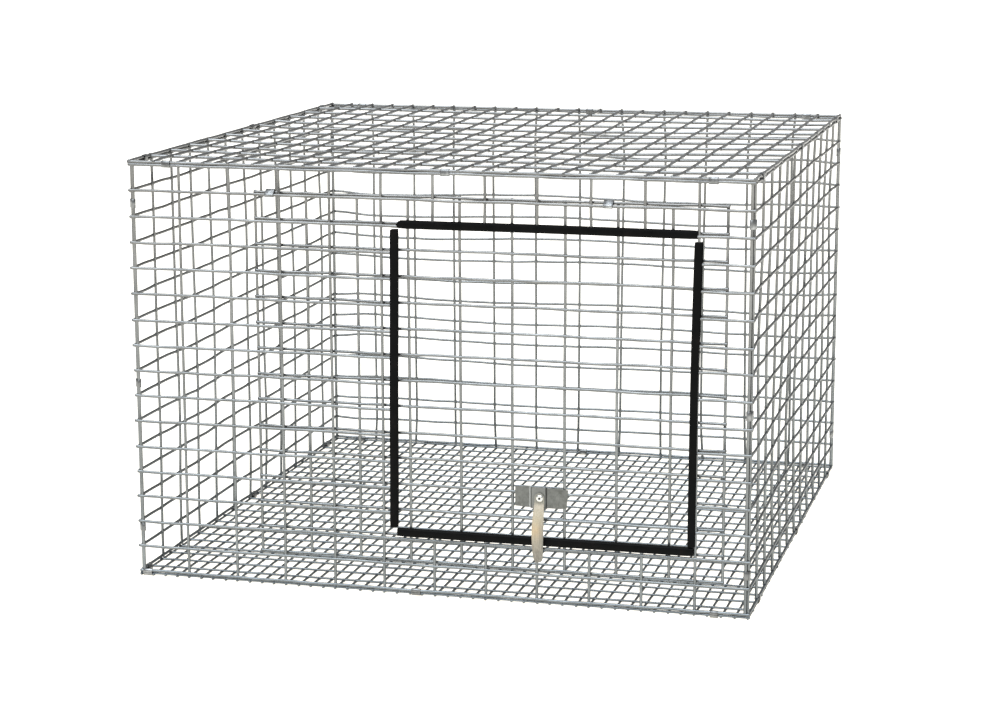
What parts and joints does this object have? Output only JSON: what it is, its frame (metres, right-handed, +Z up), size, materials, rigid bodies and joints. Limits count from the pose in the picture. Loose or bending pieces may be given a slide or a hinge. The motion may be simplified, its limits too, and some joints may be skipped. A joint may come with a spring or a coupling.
{
  "type": "kennel cage",
  "caption": "Box-shaped welded wire mesh cage with a mesh door hung inside the front from its top edge, black edge guards round the doorway and a hanging turn latch.",
  "frame": {"origin": "on the standing surface, under the middle of the cage, level with the undersides of the floor clips", "axes": "+Z up, -Y out of the front with the doorway, +X to the right as the front is faced"},
  "size_m": [0.6152, 0.6203, 0.4183],
  "materials": {
    "galvanised_wire": "hot-dip galvanised welded wire, satin grey with bright highlights",
    "clip_steel": "galvanised strip clips, slightly darker than the wire",
    "galvanised_sheet": "thin galvanised sheet with soft spangle",
    "rivet_steel": "bright zinc-plated rivet",
    "lever_metal": "warm satin metal strip",
    "black_plastic": "black extruded plastic channel, slight sheen"
  },
  "bodies": {
    "cage": {"back_panel": "galvanised_wire", "door_guard_bottom": "black_plastic", "door_guard_left": "black_plastic", "door_guard_right": "black_plastic", "door_guard_top": "black_plastic", "floor_back_clip_1": "clip_steel", "floor_back_clip_2": "clip_steel", "floor_back_clip_3": "clip_steel", "floor_front_clip_1": "clip_steel", "floor_front_clip_2": "clip_steel", "floor_front_clip_3": "clip_steel", "floor_left_clip_1": "clip_steel", "floor_left_clip_2": "clip_steel", "floor_left_clip_3": "clip_steel", "floor_panel": "galvanised_wire", "floor_right_clip_1": "clip_steel", "floor_right_clip_2": "clip_steel", "floor_right_clip_3": "clip_steel", "front_panel": "galvanised_wire", "hinge_clip_1": "clip_steel", "hinge_clip_2": "clip_steel", "left_panel": "galvanised_wire", "post_back_left_clip_1": "clip_steel", "post_back_left_clip_2": "clip_steel", "post_back_right_clip_1": "clip_steel", "post_back_right_clip_2": "clip_steel", "post_front_left_clip_1": "clip_steel", "post_front_left_clip_2": "clip_steel", "post_front_left_clip_3": "clip_steel", "post_front_right_clip_1": "clip_steel", "post_front_right_clip_2": "clip_steel", "post_front_right_clip_3": "clip_steel", "right_panel": "galvanised_wire", "top_back_clip_1": "clip_steel", "top_back_clip_2": "clip_steel", "top_back_clip_3": "clip_steel", "top_front_clip_1": "clip_steel", "top_front_clip_2": "clip_steel", "top_front_clip_3": "clip_steel", "top_left_clip_1": "clip_steel", "top_left_clip_2": "clip_steel", "top_left_clip_3": "clip_steel", "top_panel": "galvanised_wire", "top_right_clip_1": "clip_steel", "top_right_clip_2": "clip_steel", "top_right_clip_3": "clip_steel"},
    "door": {"door_panel": "galvanised_wire", "latch_plate": "galvanised_sheet", "latch_back_plate": "galvanised_sheet", "latch_rivet": "rivet_steel"},
    "lever": {"latch_lever": "lever_metal"}
  },
  "joints": [
    {"name": "door_swing", "type": "hinge", "parent": "cage", "child": "door", "pos_m": [0.0508, -0.2999, 0.38955], "axis": [1, 0, 0], "range_deg": [0, 90]},
    {"name": "latch_turn", "type": "hinge", "parent": "door", "child": "lever", "pos_m": [0.1046, -0.3065, 0.1063], "axis": [0, 1, 0], "range_deg": [-90, 90]}
  ]
}
